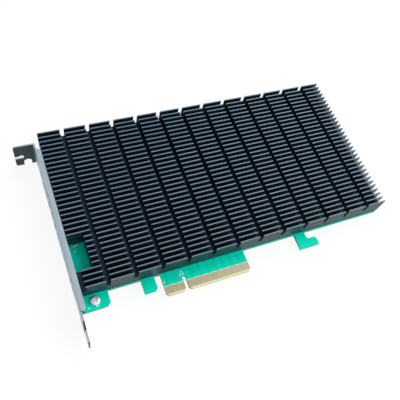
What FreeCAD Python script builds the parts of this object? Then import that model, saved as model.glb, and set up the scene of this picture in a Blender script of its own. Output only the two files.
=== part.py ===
import FreeCAD
import Part
import Sketcher

import os

# A full-height PCI Express x8 add-in card that holds four M.2 drives under one cross-cut
# aluminium heatsink, with a folded steel slot bracket.
#
# Frame: the origin is where the key notch's centre line meets the contact edge, on the board's
# component face. +X runs along the card away from the bracket, +Y from the contacts to the
# card's top edge, +Z out of the component face. Lengths are in millimetres.

Vector = FreeCAD.Vector

SIZES = {
    # Circuit board
    "board_thickness": 1.57,
    "board_left": -58.4,            # end of the board beside the bracket
    "shoulder": 13.2,               # lower edge of the board between the tabs
    "board_top_margin": 1.25,       # board above the drive bay
    "screw_tab_right": -42.6,       # tab that the lower bracket screw goes through
    "screw_tab_bottom": 4.85,
    "screw_tab_chamfer": 1.9,
    "guide_tab_right": -16.15,      # small tab beside the contacts
    "guide_tab_width": 7.75,
    "guide_tab_bottom": 5.0,
    "guide_tab_chamfer": 1.4,
    # Contact edge, x8
    "contacts_before_key": 11,
    "contacts_after_key": 38,
    "contact_pitch": 1.0,
    "contact_width": 0.7,
    "contact_height": 0.04,
    "contact_start": 1.15,          # gold begins above the bevel
    "contact_end": 5.5,
    "short_contact_start": 2.15,    # presence contacts mate last
    "edge_margin": 1.1,             # end contact's centre to the end of the edge
    "key_width": 1.9,
    "key_depth": 8.8,
    "key_to_contact": 1.5,          # key's centre line to the contacts beside it
    "edge_chamfer": 1.5,
    "bevel_length": 1.1,
    "bevel_depth": 0.4,
    # Retention hook beyond the contact edge
    "hook_left": 75.45,
    "hook_stem": 7.25,
    "hook_reach": 13.55,
    "hook_bottom": 3.2,
    "hook_foot": 5.45,
    "hook_round": 1.6,
    # Bracket
    "steel": 0.86,
    "bend_radius": 0.3,             # inside of every fold
    "fold_radius": 0.8,             # outside of every fold
    "bracket_clearance": 0.59,      # board's end to the bracket's inner face
    "bracket_width": 18.42,
    "bracket_edge_height": 14.06,   # bracket's component-side edge above the board
    "bracket_length": 120.02,
    "tongue_drop": 13.44,           # tongue's tip below the contact edge
    "flange_depth": 11.43,
    "notch_inset": 4.6,             # screw notch's centre line to the plate's outer face
    "notch_width": 4.42,
    "notch_depth": 5.08,
    "slit_width": 2.4,
    "slit_length": 5.0,
    "slit_height": 7.8,             # slit's centre line above the flange's solder-side edge
    "slit_relief": 1.3,
    "flange_round": 1.5,
    "tongue_width": 10.19,
    "tongue_length": 6.84,
    "lip_width": 3.2,
    "lip_bottom": 2.45,
    "lip_top_gap": 4.38,            # lip's top end below the flange's outer face
    "lip_round": 1.3,
    "relief_width": 1.0,
    "ear_reach": 15.0,
    "ear_width": 9.0,
    "ear_cut": 1.5,                 # its two clipped corners
    "vent_web": 2.3,                # steel left between neighbouring vents
    "vent_margin": 12.0,            # vents to the ends of the lip
    "vent_rows": 2,
    "vent_columns": 11,
    # Screws through the board into the bracket's ears
    "ear_screw_x": -50.25,
    "ear_screw_low": 9.43,
    "ear_screw_drop": 9.08,         # upper screw below the flange's outer face
    "ear_screw_radius": 1.5,
    "ear_screw_head": 2.75,
    "ear_screw_head_height": 1.9,
    "ear_screw_length": 4.0,
    "screw_clearance": 0.2,
    # Heatsink
    "sink_height": 12.5,
    "sink_base": 5.8,
    "sink_front_setback": 0.5,      # board's lower edge to the heatsink's front face
    "sink_top_overhang": 2.95,
    "sink_end_overhang": 1.25,
    "sink_lip_gap": 0.5,            # bracket's lip to the heatsink's end
    "fin_rows": 33,
    "fin_thickness": 0.7,
    "block_columns": 13,
    "cross_cut": 2.5,
    "cross_cut_extra": 0.2,         # the cross cuts go this much deeper than the fins
    "end_block_extra": 0.25,        # the two outer columns of blocks are this much longer
    "window_width": 8.6,
    "window_bottom": 12.1,          # above the heatsink's front face
    "window_height": 18.9,
    "step_width": 2.2,              # bare strip of base in front of the window
    "cavity_height": 4.2,           # ceiling over the drives and the chips
    "skirt": 2.9,
    "rib": 5.0,                     # wall between the two bays
    "chip_bay_left": -44.5,
    "boss_half": 2.6,               # half the width of the metal left round a screw
    # Screws from the back into the heatsink
    "sink_screw_radius": 1.25,
    "sink_screw_length": 6.0,
    "sink_screw_head": 2.25,
    "sink_screw_head_height": 1.3,
    "sink_screw_end_gap": 0.4,
    "sink_screw_drop": 16.75,       # the left wall's upper one below the upper bracket screw
    "sink_screw_rise": 3.9,         # the left wall's lower one above the bays' front wall
    # Drives in their sockets
    "drive_count": 4,
    "drive_length": 110.0,
    "drive_width": 22.0,
    "drive_gap": 1.3,
    "drive_clearance": 0.7,         # outer drives to the bay's walls
    "drive_thickness": 0.8,
    "drive_lift": 1.5,              # drive's underside above the board
    "drive_tongue_inset": 1.075,    # drive's side to its contact tongue
    "drive_tongue_length": 4.2,
    "drive_notch": 1.75,
    "drive_chip_height": 1.4,
    "socket_left": 17.0,
    "socket_depth": 8.8,
    "socket_inset": 0.05,           # drive's side to the socket's end
    "socket_height": 3.2,
    "socket_fit": 0.05,
    "standoff_half": 2.5,           # hexagon standoff, half its width across the flats
    "standoff_spigot": 1.45,        # its hexagon spigot in the drive's end notch
    "latch_half": 2.3,              # square turn-latch over the drive's end, half its width
    "latch_cut": 0.9,               # its clipped corners
    "latch_height": 0.8,
    "drive_end_room": 0.9,          # standoff to the bay's end wall
    "end_skirt": 3.4,
    # Switch chip
    "switch_x": -17.0,
    "switch_size": 35.0,
    "switch_package_height": 1.2,
    "switch_lid_margin": 1.5,
    "switch_lid_height": 2.2,
    # Supply and clock parts
    "inductor_size": 7.0,
    "inductor_height": 3.0,
    "inductor_pitch": 12.5,
    "stage_size": 5.0,
    "stage_height": 0.9,
    "bulk_length": 7.3,
    "bulk_width": 4.3,
    "bulk_height": 2.8,
    "capacitor_length": 1.0,
    "capacitor_width": 0.5,
    "capacitor_height": 0.5,
    "capacitor_pitch": 1.5,
}


class Size:
    """A length that carries the spreadsheet formula it comes from."""

    def __init__(self, value, formula):
        self.value = value
        self.formula = formula

    def joined(self, other, sign, value):
        return Size(value, f"({self.formula} {sign} {other.formula})")

    def __add__(self, other):
        other = as_size(other)
        return self.joined(other, "+", self.value + other.value)

    def __sub__(self, other):
        other = as_size(other)
        return self.joined(other, "-", self.value - other.value)

    def __mul__(self, other):
        other = as_size(other)
        return self.joined(other, "*", self.value * other.value)

    def __truediv__(self, other):
        other = as_size(other)
        return self.joined(other, "/", self.value / other.value)

    def __neg__(self):
        return ZERO - self


def as_size(number):
    """The number itself if it is a Size, or a Size for a plain number."""
    return number if isinstance(number, Size) else Size(float(number), f"{float(number)}")


ZERO = Size(0.0, "0")


def fill_sheet(document):
    """The spreadsheet of driving sizes, one named cell to a row."""
    sheet = document.addObject("Spreadsheet::Sheet", "Sizes")
    for row, (name, value) in enumerate(SIZES.items(), start=1):
        sheet.set(f"A{row}", name)
        sheet.set(f"B{row}", str(value))
        sheet.setAlias(f"B{row}", name)
    document.recompute()
    return sheet


doc = FreeCAD.newDocument("nvme_adapter_card")
fill_sheet(doc)
nodes = []


def size(name):
    """A driving size by its name in the spreadsheet."""
    return Size(float(SIZES[name]), f"Sizes.{name}")


def bind(thing, **lengths):
    """Sets properties of an object and binds them to the spreadsheet."""
    for name, length in lengths.items():
        setattr(thing, name, length.value)
        thing.setExpression(name, length.formula)


def place(thing, x, y, z):
    """Puts an object at a point whose coordinates follow the spreadsheet."""
    thing.Placement.Base = Vector(x.value, y.value, z.value)
    for axis, length in (("x", x), ("y", y), ("z", z)):
        thing.setExpression(f".Placement.Base.{axis}", length.formula)


def node(thing):
    """Marks an object as one of the card's pieces."""
    nodes.append(thing)
    return thing


def new_body(label):
    body = doc.addObject("PartDesign::Body", label)
    body.Label = label
    return body


def sketch_on(body, plane, offset=ZERO):
    """A sketch on one of the body's origin planes, moved along the plane's normal."""
    sketch = body.newObject("Sketcher::SketchObject", f"{body.Label}_sketch")
    support = [feature for feature in body.Origin.OriginFeatures if feature.Role == plane][0]
    sketch.AttachmentSupport = [(support, "")]
    sketch.MapMode = "FlatFace"
    sketch.AttachmentOffset = FreeCAD.Placement(Vector(0, 0, offset.value), FreeCAD.Rotation())
    sketch.setExpression("AttachmentOffset.Base.z", offset.formula)
    return sketch


def pin_point(sketch, geometry, point, x, y):
    """Holds a sketch point at coordinates that follow the spreadsheet."""
    for kind, length in (("DistanceX", x), ("DistanceY", y)):
        constraint = Sketcher.Constraint(kind, -1, 1, geometry, point, length.value)
        number = sketch.addConstraint(constraint)
        sketch.setExpression(f"Constraints[{number}]", length.formula)


def draw_outline(sketch, corners):
    """A closed outline of straight lines through the corners."""
    first = sketch.GeometryCount
    count = len(corners)
    for index, (x, y) in enumerate(corners):
        next_x, next_y = corners[(index + 1) % count]
        line = Part.LineSegment(Vector(x.value, y.value), Vector(next_x.value, next_y.value))
        sketch.addGeometry(line, False)
    for index, (x, y) in enumerate(corners):
        following = first + (index + 1) % count
        sketch.addConstraint(Sketcher.Constraint("Coincident", first + index, 2, following, 1))
        pin_point(sketch, first + index, 1, x, y)


def draw_rectangle(sketch, left, right, bottom, top):
    draw_outline(sketch, [(left, bottom), (right, bottom), (right, top), (left, top)])


def draw_clipped(sketch, left, right, bottom, top, cut):
    """A rectangle whose corners are cut off at 45 degrees."""
    draw_outline(sketch, [
        (left + cut, bottom), (right - cut, bottom), (right, bottom + cut), (right, top - cut),
        (right - cut, top), (left + cut, top), (left, top - cut), (left, bottom + cut),
    ])


def draw_hexagon(sketch, x, y, flat):
    """A hexagon with corners up and down, and flats at this distance left and right."""
    corner = flat * 2 / 3 ** 0.5
    draw_outline(sketch, [
        (x, y + corner), (x - flat, y + corner / 2), (x - flat, y - corner / 2),
        (x, y - corner), (x + flat, y - corner / 2), (x + flat, y + corner / 2),
    ])


def draw_cross(sketch, reach, half):
    """A cross recess round the origin."""
    draw_outline(sketch, [
        (reach, half), (half, half), (half, reach), (-half, reach), (-half, half), (-reach, half),
        (-reach, -half), (-half, -half), (-half, -reach), (half, -reach), (half, -half), (reach, -half),
    ])


def draw_circle(sketch, x, y, radius):
    circle = Part.Circle(Vector(x.value, y.value), Vector(0, 0, 1), radius.value)
    geometry = sketch.addGeometry(circle, False)
    pin_point(sketch, geometry, 3, x, y)
    number = sketch.addConstraint(Sketcher.Constraint("Radius", geometry, radius.value))
    sketch.setExpression(f"Constraints[{number}]", radius.formula)


def pad(body, sketch, length, reverse=False):
    """Adds the sketch's area, along its normal or against it."""
    feature = body.newObject("PartDesign::Pad", f"{body.Label}_pad")
    feature.Profile = sketch
    feature.Reversed = reverse
    bind(feature, Length=length)
    doc.recompute()
    return feature


def pocket(body, sketch, depth, along_normal=False):
    """Removes the sketch's area, against its normal or along it, and makes sure it cut."""
    before = body.Shape.Volume
    feature = body.newObject("PartDesign::Pocket", f"{body.Label}_pocket")
    feature.Profile = sketch
    feature.Reversed = along_normal
    bind(feature, Length=depth)
    doc.recompute()
    if body.Shape.Volume > before - 1e-6:
        raise RuntimeError(f"a pocket in {body.Label} cuts nothing")
    return feature


def pattern(body, feature, sketch, axis, length, count):
    """Repeats a feature in a row along an axis of its sketch."""
    repeat = body.newObject("PartDesign::LinearPattern", f"{body.Label}_pattern")
    repeat.Originals = [feature]
    repeat.Direction = (sketch, [axis])
    bind(repeat, Length=length)
    repeat.Occurrences = round(count.value)
    repeat.setExpression("Occurrences", count.formula)
    body.Tip = repeat
    doc.recompute()
    return repeat


def edges_through(shape, points):
    """Names of the edges nearest the given points."""
    names = []
    for x, y, z in points:
        probe = Part.Vertex(Vector(x.value, y.value, z.value))
        distances = [edge.distToShape(probe)[0] for edge in shape.Edges]
        names.append(f"Edge{distances.index(min(distances)) + 1}")
    return names


def round_edges(body, points, radius):
    """Rounds the edges that pass nearest the given points."""
    base = body.Tip
    feature = body.newObject("PartDesign::Fillet", f"{body.Label}_fillet")
    feature.Base = (base, edges_through(base.Shape, points))
    bind(feature, Radius=radius)
    doc.recompute()
    return feature


def revolve(body, corners):
    """A solid turned about the Z axis from half of its section, drawn in the XZ plane."""
    sketch = sketch_on(body, "XZ_Plane")
    draw_outline(sketch, corners)
    feature = body.newObject("PartDesign::Revolution", f"{body.Label}_turned")
    feature.Profile = sketch
    feature.ReferenceAxis = (sketch, ["V_Axis"])
    feature.Angle = 360.0
    doc.recompute()
    return feature


def block(label, x, y, z, length, width, height):
    """A rectangular piece with its lowest corner at x, y, z."""
    box = doc.addObject("Part::Box", label)
    box.Label = label
    bind(box, Length=length, Width=width, Height=height)
    place(box, x, y, z)
    return box


def group(label, master, points):
    """Separate copies of one piece, as one node."""
    doc.recompute()
    copies = doc.addObject("Part::Feature", label)
    copies.Label = label
    copies.Shape = Part.makeCompound(
        [master.Shape.translated(Vector(x.value, y.value, z.value)) for x, y, z in points]
    )
    return copies


# Places worked out from the driving sizes ---------------------------------------------------

solder_face = -size("board_thickness")

# Contact edge
pitch = size("contact_pitch")
first_contact = -size("key_to_contact") - pitch * (size("contacts_before_key") - 1)
last_contact = size("key_to_contact") + pitch * (size("contacts_after_key") - 1)
edge_left = first_contact - size("edge_margin")
edge_right = last_contact + size("edge_margin")
key_half = size("key_width") / 2

# Bracket
plate_inner = size("board_left") - size("bracket_clearance")
plate_outer = plate_inner - size("steel")
bracket_high = size("bracket_edge_height")
bracket_low = bracket_high - size("bracket_width")
tongue_tip = -size("tongue_drop")
flange_top = tongue_tip + size("bracket_length")
flange_under = flange_top - size("steel")
lip_top = flange_top - size("lip_top_gap")

# Drives, from the front of the card to its top edge
sink_front = size("shoulder") + size("sink_front_setback")
bay_front = sink_front + size("skirt")
first_drive = bay_front + size("drive_clearance")
drive_pitch = size("drive_width") + size("drive_gap")
bay_back = first_drive + drive_pitch * size("drive_count") - size("drive_gap") + size("drive_clearance")
drive_start = size("socket_left") + size("socket_depth") - size("drive_tongue_length")
drive_end = drive_start + size("drive_length")
drive_top = size("drive_lift") + size("drive_thickness")
drive_chip_top = drive_top + size("drive_chip_height")

# Bays under the heatsink, and the outlines that follow from them
drive_bay_left = size("socket_left") - size("drive_end_room")
drive_bay_right = drive_end + size("standoff_half") + size("drive_end_room")
chip_bay_right = drive_bay_left - size("rib")
board_right = drive_bay_right + size("end_skirt")
board_top = bay_back + size("board_top_margin")
sink_left = plate_outer + size("lip_width") + size("sink_lip_gap")
sink_right = board_right + size("sink_end_overhang")
sink_back = board_top + size("sink_top_overhang")
window_right = sink_left + size("window_width")
window_front = sink_front + size("window_bottom")
window_back = window_front + size("window_height")
switch_y = (bay_front + bay_back) / 2

ear_screws = [
    (size("ear_screw_x"), size("ear_screw_low")),
    (size("ear_screw_x"), flange_top - size("ear_screw_drop")),
]


def drive_middle(index):
    """Centre line of a drive, counted from the front of the card."""
    return first_drive + size("drive_width") / 2 + drive_pitch * index


rear_screw_x = drive_bay_right + (size("end_skirt") - size("boss_half")) / 2
rear_screw_rows = [drive_middle(index) + drive_pitch / 2 for index in (0, 2)]


def sink_screw_points():
    """Where the screws from the back go: two in the left wall, two in the far wall."""
    side, upper_ear = ear_screws[1]
    points = [(side, bay_front + size("sink_screw_rise")), (side, upper_ear - size("sink_screw_drop"))]
    return points + [(rear_screw_x, y) for y in rear_screw_rows]


# Circuit board -------------------------------------------------------------------------------

def board_corners():
    """The board's outline, counterclockwise from the lower corner beside the bracket."""
    left, shoulder = size("board_left"), size("shoulder")
    tab_right, tab_low, tab_cut = (
        size("screw_tab_right"), size("screw_tab_bottom"), size("screw_tab_chamfer"))
    guide_right, guide_low, guide_cut = (
        size("guide_tab_right"), size("guide_tab_bottom"), size("guide_tab_chamfer"))
    guide_left = guide_right - size("guide_tab_width")
    cut = size("edge_chamfer")
    hook_left, hook_low = size("hook_left"), size("hook_bottom")
    stem_right = hook_left + size("hook_stem")
    toe = hook_left + size("hook_reach")
    foot_top = hook_low + size("hook_foot")
    return [
        (left, tab_low + tab_cut), (left + tab_cut, tab_low),
        (tab_right - tab_cut, tab_low), (tab_right, tab_low + tab_cut),
        (tab_right, shoulder), (guide_left, shoulder),
        (guide_left, guide_low), (guide_right - guide_cut, guide_low),
        (guide_right, guide_low + guide_cut), (guide_right, shoulder),
        (edge_left, shoulder), (edge_left, cut), (edge_left + cut, ZERO),
        (-key_half - cut, ZERO), (-key_half, cut),
        (-key_half, size("key_depth")), (key_half, size("key_depth")),
        (key_half, cut), (key_half + cut, ZERO),
        (edge_right - cut, ZERO), (edge_right, cut), (edge_right, shoulder),
        (hook_left, shoulder), (hook_left, hook_low), (toe, hook_low),
        (toe, foot_top), (stem_right, foot_top), (stem_right, shoulder),
        (board_right, shoulder), (board_right, board_top), (left, board_top),
    ]


def build_board():
    """FR-4 board: outline, screw holes, bevelled contact edge, rounded inner corners."""
    body = new_body("circuit_board")
    outline = sketch_on(body, "XY_Plane")
    draw_outline(outline, board_corners())
    for x, y in ear_screws:
        draw_circle(outline, x, y, size("ear_screw_radius") + size("screw_clearance"))
    for x, y in sink_screw_points():
        draw_circle(outline, x, y, size("sink_screw_radius") + size("screw_clearance"))
    pad(body, outline, size("board_thickness"), reverse=True)

    bevel = sketch_on(body, "YZ_Plane", edge_left)
    depth, length = size("bevel_depth"), size("bevel_length")
    draw_outline(bevel, [(ZERO, ZERO), (length, ZERO), (ZERO, -depth)])
    draw_outline(bevel, [(ZERO, solder_face), (length, solder_face), (ZERO, solder_face + depth)])
    pocket(body, bevel, edge_right - edge_left, along_normal=True)

    middle = solder_face / 2
    key_corners = [(x, size("key_depth"), middle) for x in (-key_half, key_half)]
    round_edges(body, key_corners, key_half - size("contact_height"))
    foot_top = size("hook_bottom") + size("hook_foot")
    stem_right = size("hook_left") + size("hook_stem")
    toe = size("hook_left") + size("hook_reach")
    hook_corners = [(x, foot_top, middle) for x in (stem_right, toe)]
    round_edges(body, hook_corners, size("hook_round"))
    return node(body)


def build_contacts(label, face, outward, runs):
    """A row of gold contacts on one face; each run is (first x, last x, start)."""
    body = new_body(label)
    half = size("contact_width") / 2
    for first, last, start in runs:
        sketch = sketch_on(body, "XY_Plane", face)
        draw_rectangle(sketch, first - half, first + half, start, size("contact_end"))
        feature = pad(body, sketch, size("contact_height"), reverse=not outward)
        if last.value > first.value:
            pattern(body, feature, sketch, "H_Axis", last - first, (last - first) / pitch + 1)
    return node(body)


def build_all_contacts():
    """Both sides of the x8 edge, each with one short presence contact."""
    after_key = size("key_to_contact")
    start, short = size("contact_start"), size("short_contact_start")
    presence = last_contact - pitch
    build_contacts("contacts_component_side", ZERO, True, [
        (first_contact, -after_key, start), (after_key, presence - pitch, start),
        (presence, presence, short), (last_contact, last_contact, start),
    ])
    build_contacts("contacts_solder_side", solder_face, False, [
        (first_contact, first_contact, short), (first_contact + pitch, -after_key, start),
        (after_key, last_contact, start),
    ])


# Heatsink ------------------------------------------------------------------------------------

def drive_bay_corners():
    """The drive bay's outline; its far wall steps in round each screw."""
    corners = [(drive_bay_left, bay_back), (drive_bay_left, bay_front), (drive_bay_right, bay_front)]
    half = size("boss_half")
    inner = rear_screw_x - half
    for y in rear_screw_rows:
        corners += [(drive_bay_right, y - half), (inner, y - half),
                    (inner, y + half), (drive_bay_right, y + half)]
    return corners + [(drive_bay_right, bay_back)]


def build_sink():
    """One machined block: fins along X, cross cuts along Y, a window, and bays underneath."""
    body = new_body("heatsink")
    height, base = size("sink_height"), size("sink_base")
    fin_height = height - base
    outline = sketch_on(body, "XY_Plane")
    draw_rectangle(outline, sink_left, sink_right, sink_front, sink_back)
    pad(body, outline, height)

    window = sketch_on(body, "XY_Plane", height)
    draw_rectangle(window, sink_left, window_right, window_front, window_back)
    pocket(body, window, height)
    step = sketch_on(body, "XY_Plane", height)
    draw_rectangle(step, sink_left, sink_left + size("step_width"), sink_front, window_front)
    pocket(body, step, fin_height)

    bays = sketch_on(body, "XY_Plane")
    draw_rectangle(bays, size("chip_bay_left"), chip_bay_right, bay_front, bay_back)
    draw_outline(bays, drive_bay_corners())
    screw_room = size("ear_screw_head") + size("bracket_clearance")
    x, y = ear_screws[1]
    draw_rectangle(bays, x - screw_room, x + screw_room, y - screw_room, y + screw_room)
    pocket(body, bays, size("cavity_height"), along_normal=True)

    holes = sketch_on(body, "XY_Plane")
    for x, y in sink_screw_points():
        draw_circle(holes, x, y, size("sink_screw_radius"))
    hole_depth = size("sink_screw_length") - size("board_thickness") + size("sink_screw_end_gap")
    pocket(body, holes, hole_depth, along_normal=True)

    fin_pitch = (sink_back - sink_front - size("fin_thickness")) / (size("fin_rows") - 1)
    channel = sketch_on(body, "XY_Plane", height)
    first_channel = sink_front + size("fin_thickness")
    channel_width = fin_pitch - size("fin_thickness")
    draw_rectangle(channel, sink_left, sink_right, first_channel, first_channel + channel_width)
    cut = pocket(body, channel, fin_height)
    pattern(body, cut, channel, "V_Axis", fin_pitch * (size("fin_rows") - 2), size("fin_rows") - 1)

    extra, gap = size("end_block_extra"), size("cross_cut")
    block_pitch = (sink_right - sink_left - extra * 2 + gap) / size("block_columns")
    first_cut = sink_left + extra + block_pitch - gap
    cross = sketch_on(body, "XY_Plane", height)
    draw_rectangle(cross, first_cut, first_cut + gap, sink_front, sink_back)
    cut = pocket(body, cross, fin_height + size("cross_cut_extra"))
    columns = size("block_columns")
    pattern(body, cut, cross, "H_Axis", block_pitch * (columns - 2), columns - 1)
    return node(body)


# Bracket -------------------------------------------------------------------------------------

def build_bracket():
    """One steel sheet: plate with vents, flange, stiffening lip, two ears and the tongue."""
    body = new_body("bracket")
    steel = size("steel")
    tongue_low = bracket_low + (size("bracket_width") - size("tongue_width")) / 2
    tongue_high = tongue_low + size("tongue_width")
    taper = bracket_high - tongue_high
    taper_low = tongue_tip + size("tongue_length")
    taper_high = taper_low + taper
    top = flange_top

    plate = sketch_on(body, "YZ_Plane", plate_outer)
    draw_outline(plate, [
        (tongue_tip, tongue_low), (taper_low, tongue_low), (taper_high, bracket_low),
        (top, bracket_low), (top, bracket_high), (taper_high, bracket_high),
        (taper_low, tongue_high), (tongue_tip, tongue_high),
    ])
    pad(body, plate, steel)

    flange = sketch_on(body, "XZ_Plane", -top)
    flange_end = plate_outer - size("flange_depth")
    draw_rectangle(flange, flange_end, plate_inner, bracket_low, bracket_high)
    pad(body, flange, steel)
    notch_x = plate_outer - size("notch_inset")
    notch_radius = size("notch_width") / 2
    notch_end = bracket_low + size("notch_depth") - notch_radius
    notch = sketch_on(body, "XZ_Plane", -top)
    draw_circle(notch, notch_x, notch_end, notch_radius)
    pocket(body, notch, steel, along_normal=True)
    mouth = sketch_on(body, "XZ_Plane", -top)
    draw_rectangle(mouth, notch_x - notch_radius, notch_x + notch_radius, bracket_low, notch_end)
    pocket(body, mouth, steel, along_normal=True)
    slit_z = bracket_low + size("slit_height")
    slit_half = size("slit_width") / 2
    slit = sketch_on(body, "XZ_Plane", -top)
    slit_end = flange_end + size("slit_length")
    draw_rectangle(slit, flange_end, slit_end, slit_z - slit_half, slit_z + slit_half)
    pocket(body, slit, steel, along_normal=True)
    relief = sketch_on(body, "XZ_Plane", -top)
    draw_circle(relief, slit_end - size("slit_relief"), slit_z + slit_half / 2, size("slit_relief"))
    pocket(body, relief, steel, along_normal=True)

    lip_low, lip_high = size("lip_bottom"), lip_top
    gap = size("relief_width")
    lip_reliefs = sketch_on(body, "YZ_Plane", plate_outer)
    relief_bottom = bracket_high - steel - size("bend_radius")
    draw_rectangle(lip_reliefs, lip_low - gap, lip_low, relief_bottom, bracket_high)
    draw_rectangle(lip_reliefs, lip_high, lip_high + gap, relief_bottom, bracket_high)
    pocket(body, lip_reliefs, steel, along_normal=True)
    lip = sketch_on(body, "XY_Plane", bracket_high)
    draw_rectangle(lip, plate_outer, plate_outer + size("lip_width"), lip_low, lip_high)
    pad(body, lip, steel, reverse=True)

    ear_top = solder_face
    ear_bottom = ear_top - steel
    for x, y in ear_screws:
        low, high = y - size("ear_width") / 2, y + size("ear_width") / 2
        around = sketch_on(body, "YZ_Plane", plate_outer)
        draw_outline(around, [
            (low - gap, bracket_low), (low - gap, ear_top + steel), (low, ear_top + steel),
            (low, ear_bottom), (high, ear_bottom), (high, ear_top + steel),
            (high + gap, ear_top + steel), (high + gap, bracket_low),
        ])
        pocket(body, around, steel, along_normal=True)
        ear = sketch_on(body, "XY_Plane", ear_top)
        end, cut = plate_outer + size("ear_reach"), size("ear_cut")
        draw_outline(ear, [
            (plate_outer, low), (end - cut, low), (end, low + cut),
            (end, high - cut), (end - cut, high), (plate_outer, high),
        ])
        pad(body, ear, steel, reverse=True)
        thread = sketch_on(body, "XY_Plane", ear_top)
        draw_circle(thread, x, y, size("ear_screw_radius"))
        pocket(body, thread, steel)

    middle_y = (lip_low + lip_high) / 2
    middle_z = (bracket_low + bracket_high) / 2
    inside = [(plate_outer, flange_under, middle_z), (plate_inner, middle_y, bracket_high - steel)]
    inside += [(plate_inner, y, ear_top) for x, y in ear_screws]
    round_edges(body, inside, size("bend_radius"))
    outside = [(plate_inner, top, middle_z), (plate_outer, middle_y, bracket_high)]
    outside += [(plate_outer, y, ear_bottom) for x, y in ear_screws]
    round_edges(body, outside, size("fold_radius"))
    flange_middle = top - steel / 2
    flange_corners = [(flange_end, flange_middle, z) for z in (bracket_low, bracket_high)]
    round_edges(body, flange_corners, size("flange_round"))
    lip_edge = plate_outer + size("lip_width")
    lip_corners = [(lip_edge, y, bracket_high - steel / 2) for y in (lip_low, lip_high)]
    round_edges(body, lip_corners, size("lip_round"))

    vents = sketch_on(body, "YZ_Plane", plate_outer)
    columns = size("vent_columns")
    vent_pitch = (lip_high - lip_low - size("vent_margin") * 2) / (columns + 0.5)
    row_pitch = vent_pitch * 3 ** 0.5 / 2
    vent_y = lip_low + size("vent_margin") + vent_pitch / 2
    vent_z = size("sink_height") / 2 - row_pitch * (SIZES["vent_rows"] - 1) / 2
    for row in range(SIZES["vent_rows"]):
        shift = vent_pitch / 2 * (row % 2)
        draw_hexagon(vents, vent_y + shift, vent_z + row_pitch * row, (vent_pitch - size("vent_web")) / 2)
    cut = pocket(body, vents, steel, along_normal=True)
    pattern(body, cut, vents, "H_Axis", vent_pitch * (columns - 1), columns)
    return node(body)


# Screws and standoffs ------------------------------------------------------------------------

def build_ear_screws():
    """Pan-head cross-recess screws, heads on the component face."""
    body = new_body("ear_screw_master")
    radius, head, height = (
        size("ear_screw_radius"), size("ear_screw_head"), size("ear_screw_head_height"))
    revolve(body, [
        (ZERO, -size("ear_screw_length")), (radius, -size("ear_screw_length")), (radius, ZERO),
        (head, ZERO), (head, height), (ZERO, height),
    ])
    recess = sketch_on(body, "XY_Plane", height)
    draw_cross(recess, head * 0.5, head * 0.12)
    pocket(body, recess, height * 0.6)
    points = [(x, y, ZERO) for x, y in ear_screws]
    return node(group("bracket_screws", body, points))


def build_sink_screws():
    """Low-head screws from the solder face into the heatsink's bosses."""
    body = new_body("sink_screw_master")
    radius, head, height = (
        size("sink_screw_radius"), size("sink_screw_head"), size("sink_screw_head_height"))
    revolve(body, [
        (ZERO, size("sink_screw_length")), (radius, size("sink_screw_length")), (radius, ZERO),
        (head, ZERO), (head, -height), (ZERO, -height),
    ])
    recess = sketch_on(body, "XY_Plane", -height)
    draw_cross(recess, head * 0.5, head * 0.13)
    pocket(body, recess, height * 0.6, along_normal=True)
    points = [(x, y, solder_face) for x, y in sink_screw_points()]
    return node(group("heatsink_screws", body, points))


def build_drive_fasteners():
    """The standoff that carries each drive's end, and the turn-latch that holds it down."""
    points = [(drive_end, drive_middle(index), ZERO) for index in range(SIZES["drive_count"])]
    nut = new_body("standoff_master")
    for flat, top in ((size("standoff_half"), size("drive_lift")), (size("standoff_spigot"), drive_top)):
        outline = sketch_on(nut, "XY_Plane")
        draw_hexagon(outline, ZERO, ZERO, flat)
        pad(nut, outline, top)
    node(group("drive_standoffs", nut, points))
    latch = new_body("latch_master")
    outline = sketch_on(latch, "XY_Plane", drive_top)
    half = size("latch_half")
    draw_clipped(outline, -half, half, -half, half, size("latch_cut"))
    pad(latch, outline, size("latch_height"))
    return node(group("drive_latches", latch, points))


# Drives --------------------------------------------------------------------------------------

def build_socket(index):
    """Socket body with the slot that the drive's contact edge goes into."""
    body = new_body(f"drive_socket_{index + 1}")
    middle = drive_middle(index)
    half = size("drive_width") / 2 - size("socket_inset")
    right = size("socket_left") + size("socket_depth")
    outline = sketch_on(body, "XY_Plane")
    draw_rectangle(outline, size("socket_left"), right, middle - half, middle + half)
    pad(body, outline, size("socket_height"))
    slot = sketch_on(body, "YZ_Plane", right)
    slot_half = size("drive_width") / 2 - size("drive_tongue_inset") + size("socket_fit")
    slot_low, slot_high = size("drive_lift") - size("socket_fit"), drive_top + size("socket_fit")
    draw_rectangle(slot, middle - slot_half, middle + slot_half, slot_low, slot_high)
    pocket(body, slot, size("drive_tongue_length") + size("socket_fit") * 4)
    return node(body)


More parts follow.
